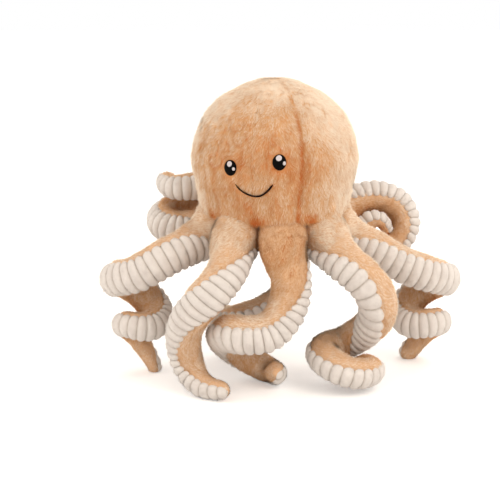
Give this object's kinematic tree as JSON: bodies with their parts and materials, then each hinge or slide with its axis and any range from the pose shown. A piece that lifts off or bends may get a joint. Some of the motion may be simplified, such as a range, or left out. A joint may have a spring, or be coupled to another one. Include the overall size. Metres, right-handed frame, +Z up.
{
  "type": "plush octopus",
  "caption": "Round fur head with sewn eyes and smile on curled arms, each with a fur side and a ribbed cream side.",
  "frame": {"origin": "middle of the bounding box, on the surface it stands on", "axes": "+Z up, the face towards -Y, +X to the right of a person facing the toy"},
  "size_m": [0.4416, 0.3278, 0.3875],
  "materials": {
    "peach_fur": "short soft pile",
    "cream_ribbed_plush": "ribbed velvet pile",
    "polyester_stuffing": "loose fibre",
    "black_embroidery": "satin stitch",
    "white_embroidery": "satin stitch",
    "dark_thread": "thread"
  },
  "bodies": {
    "head": {"head_front": "peach_fur", "head_right": "peach_fur", "head_back": "peach_fur", "head_left": "peach_fur", "head_stuffing": "polyester_stuffing", "base_panel": "peach_fur", "eye_left": "black_embroidery", "eye_right": "black_embroidery", "eye_left_glint_upper": "white_embroidery", "eye_left_glint_lower": "white_embroidery", "eye_right_glint_upper": "white_embroidery", "eye_right_glint_lower": "white_embroidery", "smile": "dark_thread"},
    "arm_left": {"arm_left_ribs": "cream_ribbed_plush", "arm_left_fur": "peach_fur", "arm_left_stuffing": "polyester_stuffing"},
    "arm_front_left": {"arm_front_left_ribs": "cream_ribbed_plush", "arm_front_left_fur": "peach_fur", "arm_front_left_stuffing": "polyester_stuffing"},
    "arm_front": {"arm_front_ribs": "cream_ribbed_plush", "arm_front_fur": "peach_fur", "arm_front_stuffing": "polyester_stuffing"},
    "arm_front_right": {"arm_front_right_ribs": "cream_ribbed_plush", "arm_front_right_fur": "peach_fur", "arm_front_right_stuffing": "polyester_stuffing"},
    "arm_right": {"arm_right_ribs": "cream_ribbed_plush", "arm_right_fur": "peach_fur", "arm_right_stuffing": "polyester_stuffing"},
    "arm_back_right": {"arm_back_right_ribs": "cream_ribbed_plush", "arm_back_right_fur": "peach_fur", "arm_back_right_stuffing": "polyester_stuffing"},
    "arm_back_left": {"arm_back_left_ribs": "cream_ribbed_plush", "arm_back_left_fur": "peach_fur", "arm_back_left_stuffing": "polyester_stuffing"},
    "arm_back": {"arm_back_ribs": "cream_ribbed_plush", "arm_back_fur": "peach_fur", "arm_back_stuffing": "polyester_stuffing"}
  },
  "joints": [
    {"name": "arm_left_root", "type": "hinge", "parent": "head", "child": "arm_left", "pos_m": [-0.0761, -0.04187, 0.18838], "axis": [-0.3827, 0.9239, 0], "range_deg": [-15, 25]},
    {"name": "arm_front_left_root", "type": "hinge", "parent": "head", "child": "arm_front_left", "pos_m": [-0.0366, -0.08136, 0.18838], "axis": [-0.9239, 0.3827, 0], "range_deg": [0, 20]},
    {"name": "arm_front_root", "type": "hinge", "parent": "head", "child": "arm_front", "pos_m": [0.01925, -0.08136, 0.18838], "axis": [-0.9239, -0.3827, 0], "range_deg": [-5, 12]},
    {"name": "arm_front_right_root", "type": "hinge", "parent": "head", "child": "arm_front_right", "pos_m": [0.05874, -0.04187, 0.18838], "axis": [-0.3827, -0.9239, 0], "range_deg": [-10, 20]},
    {"name": "arm_right_root", "type": "hinge", "parent": "head", "child": "arm_right", "pos_m": [0.05874, 0.01399, 0.18838], "axis": [0.3827, -0.9239, 0], "range_deg": [-15, 25]},
    {"name": "arm_back_right_root", "type": "hinge", "parent": "head", "child": "arm_back_right", "pos_m": [0.01925, 0.05348, 0.18838], "axis": [0.9239, -0.3827, 0], "range_deg": [-20, 6]},
    {"name": "arm_back_left_root", "type": "hinge", "parent": "head", "child": "arm_back_left", "pos_m": [-0.0761, 0.01399, 0.18838], "axis": [0.3827, 0.9239, 0], "range_deg": [-20, 8]},
    {"name": "arm_back_root", "type": "hinge", "parent": "head", "child": "arm_back", "pos_m": [-0.0366, 0.05348, 0.18838], "axis": [0.9239, 0.3827, 0], "range_deg": [-5, 20]}
  ]
}
